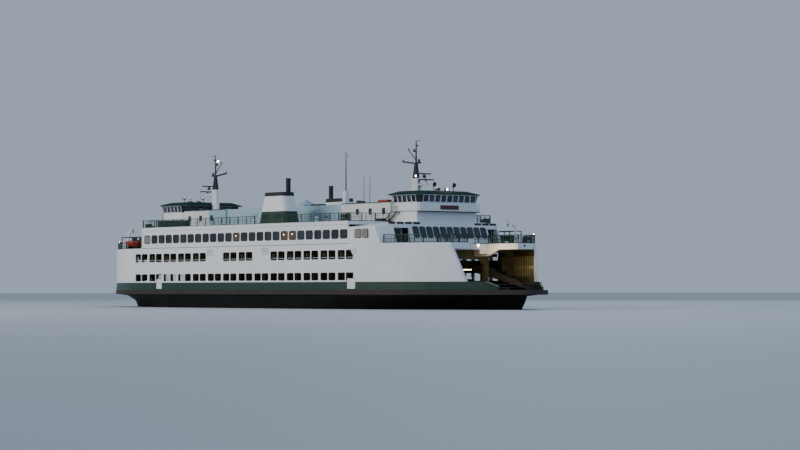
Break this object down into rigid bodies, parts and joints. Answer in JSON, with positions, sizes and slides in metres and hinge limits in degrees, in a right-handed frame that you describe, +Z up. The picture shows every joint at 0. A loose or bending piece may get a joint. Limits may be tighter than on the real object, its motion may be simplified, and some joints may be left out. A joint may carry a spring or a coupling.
{
  "type": "double-ended passenger and car ferry, 1:10 scale model",
  "caption": "Double-ended passenger and car ferry afloat, with hull, open car deck, cabin, pilothouses, masts, funnels, turning propellers, rudders and doors. Scale model at 1:10.",
  "frame": {"origin": "amidships on the centreline, at the waterline", "axes": "+X towards end 1, +Y to port, +Z up"},
  "size_m": [10, 2.4, 2.73],
  "materials": {
    "hull_paint": "satin green-black paint",
    "guard": "scuffed brown-black paint",
    "deck": "matt non-slip deck paint",
    "white_paint": "satin white paint",
    "green_paint": "satin dark green paint",
    "pale_blue_paint": "satin pale blue-green paint",
    "inner_paint": "satin olive cream paint",
    "black_paint": "matt black paint",
    "orange_paint": "satin orange-red",
    "bronze": "propeller bronze",
    "engine_paint": "grey machinery paint"
  },
  "bodies": {
    "ship": {"hull": "hull_paint", "main_engines": "engine_paint", "guard": "guard", "main_deck": "deck", "bulwark_starboard": "green_paint", "bulwark_port": "green_paint", "side_shell_starboard": "white_paint", "side_shell_port": "white_paint", "passenger_deck": "white_paint", "centre_casing": "inner_paint", "wing_deck_starboard": "inner_paint", "wing_deck_port": "inner_paint", "portal_frame_1": "inner_paint", "portal_frame_2": "inner_paint", "cabin_wall_starboard": "white_paint", "cabin_wall_port": "white_paint", "sun_deck": "white_paint", "end_house_1": "white_paint", "end_house_2": "white_paint", "crew_house_1": "white_paint", "crew_house_2": "white_paint", "mid_casing": "pale_blue_paint", "pilothouse_1": "white_paint", "pilothouse_2": "white_paint", "pilothouse_roof_1": "green_paint", "pilothouse_roof_2": "green_paint", "mast_1": "black_paint", "mast_2": "black_paint", "funnel_1": "white_paint", "funnel_2": "white_paint", "rescue_boat_1": "orange_paint", "rescue_boat_2": "orange_paint", "boat_cradle_1": "black_paint", "boat_cradle_2": "black_paint", "sun_rail_starboard": "green_paint", "sun_rail_port": "green_paint", "fork_rail_1": "green_paint", "fork_rail_2": "green_paint"},
    "propeller_1": {"propeller_1": "bronze"},
    "propeller_2": {"propeller_2": "bronze"},
    "rudder_1": {"rudder_1": "hull_paint"},
    "rudder_2": {"rudder_2": "hull_paint"},
    "side_door_starboard_1": {"side_door_starboard_1": "white_paint"},
    "side_door_starboard_2": {"side_door_starboard_2": "white_paint"},
    "side_door_port_1": {"side_door_port_1": "white_paint"},
    "side_door_port_2": {"side_door_port_2": "white_paint"},
    "cabin_door_1_starboard": {"cabin_door_1_starboard": "green_paint"},
    "cabin_door_1_port": {"cabin_door_1_port": "green_paint"},
    "cabin_door_2_port": {"cabin_door_2_port": "green_paint"},
    "cabin_door_2_starboard": {"cabin_door_2_starboard": "green_paint"},
    "radar_upper_1": {"radar_upper_1": "black_paint"},
    "radar_lower_1": {"radar_lower_1": "black_paint"},
    "radar_upper_2": {"radar_upper_2": "black_paint"},
    "radar_lower_2": {"radar_lower_2": "black_paint"},
    "davit_1": {"davit_1": "white_paint"},
    "davit_2": {"davit_2": "white_paint"}
  },
  "joints": [
    {"name": "propeller_turn_1", "type": "hinge", "parent": "ship", "child": "propeller_1", "pos_m": [4.16, 0, -0.29], "axis": [1, 0, 0], "continuous": true},
    {"name": "propeller_turn_2", "type": "hinge", "parent": "ship", "child": "propeller_2", "pos_m": [-4.16, 0, -0.29], "axis": [-1, 0, 0], "continuous": true},
    {"name": "rudder_turn_1", "type": "hinge", "parent": "ship", "child": "rudder_1", "pos_m": [4.42, 0, -0.2], "axis": [0, 0, 1], "range_deg": [-35, 35]},
    {"name": "rudder_turn_2", "type": "hinge", "parent": "ship", "child": "rudder_2", "pos_m": [-4.42, 0, -0.2], "axis": [0, 0, 1], "range_deg": [-35, 35]},
    {"name": "side_door_swing_starboard_1", "type": "hinge", "parent": "ship", "child": "side_door_starboard_1", "pos_m": [2.69, -1.188, 0.33], "axis": [0, 0, 1], "range_deg": [0, 100]},
    {"name": "side_door_swing_starboard_2", "type": "hinge", "parent": "ship", "child": "side_door_starboard_2", "pos_m": [-2.015, -1.188, 0.33], "axis": [0, 0, 1], "range_deg": [0, 100]},
    {"name": "side_door_swing_port_1", "type": "hinge", "parent": "ship", "child": "side_door_port_1", "pos_m": [2.015, 1.188, 0.33], "axis": [0, 0, 1], "range_deg": [0, 100]},
    {"name": "side_door_swing_port_2", "type": "hinge", "parent": "ship", "child": "side_door_port_2", "pos_m": [-2.69, 1.188, 0.33], "axis": [0, 0, 1], "range_deg": [0, 100]},
    {"name": "cabin_door_swing_1_starboard", "type": "hinge", "parent": "ship", "child": "cabin_door_1_starboard", "pos_m": [3.07, -0.85, 0.95], "axis": [0, 0, -1], "range_deg": [0, 90]},
    {"name": "cabin_door_swing_1_port", "type": "hinge", "parent": "ship", "child": "cabin_door_1_port", "pos_m": [3.07, 0.77, 0.95], "axis": [0, 0, 1], "range_deg": [0, 90]},
    {"name": "cabin_door_swing_2_port", "type": "hinge", "parent": "ship", "child": "cabin_door_2_port", "pos_m": [-3.07, 0.85, 0.95], "axis": [0, 0, -1], "range_deg": [0, 90]},
    {"name": "cabin_door_swing_2_starboard", "type": "hinge", "parent": "ship", "child": "cabin_door_2_starboard", "pos_m": [-3.07, -0.77, 0.95], "axis": [0, 0, 1], "range_deg": [0, 90]},
    {"name": "radar_turn_upper_1", "type": "hinge", "parent": "ship", "child": "radar_upper_1", "pos_m": [2.61, 0, 1.78], "axis": [0, 0, 1], "continuous": true},
    {"name": "radar_turn_lower_1", "type": "hinge", "parent": "ship", "child": "radar_lower_1", "pos_m": [2.65, 0, 1.7], "axis": [0, 0, 1], "continuous": true},
    {"name": "radar_turn_upper_2", "type": "hinge", "parent": "ship", "child": "radar_upper_2", "pos_m": [-2.61, 0, 1.78], "axis": [0, 0, 1], "continuous": true},
    {"name": "radar_turn_lower_2", "type": "hinge", "parent": "ship", "child": "radar_lower_2", "pos_m": [-2.65, 0, 1.7], "axis": [0, 0, 1], "continuous": true},
    {"name": "davit_slew_1", "type": "hinge", "parent": "ship", "child": "davit_1", "pos_m": [3.41, 0.9, 0.86], "axis": [0, 0, -1], "range_deg": [0, 100]},
    {"name": "davit_slew_2", "type": "hinge", "parent": "ship", "child": "davit_2", "pos_m": [-3.41, -0.9, 0.86], "axis": [0, 0, -1], "range_deg": [0, 100]}
  ]
}
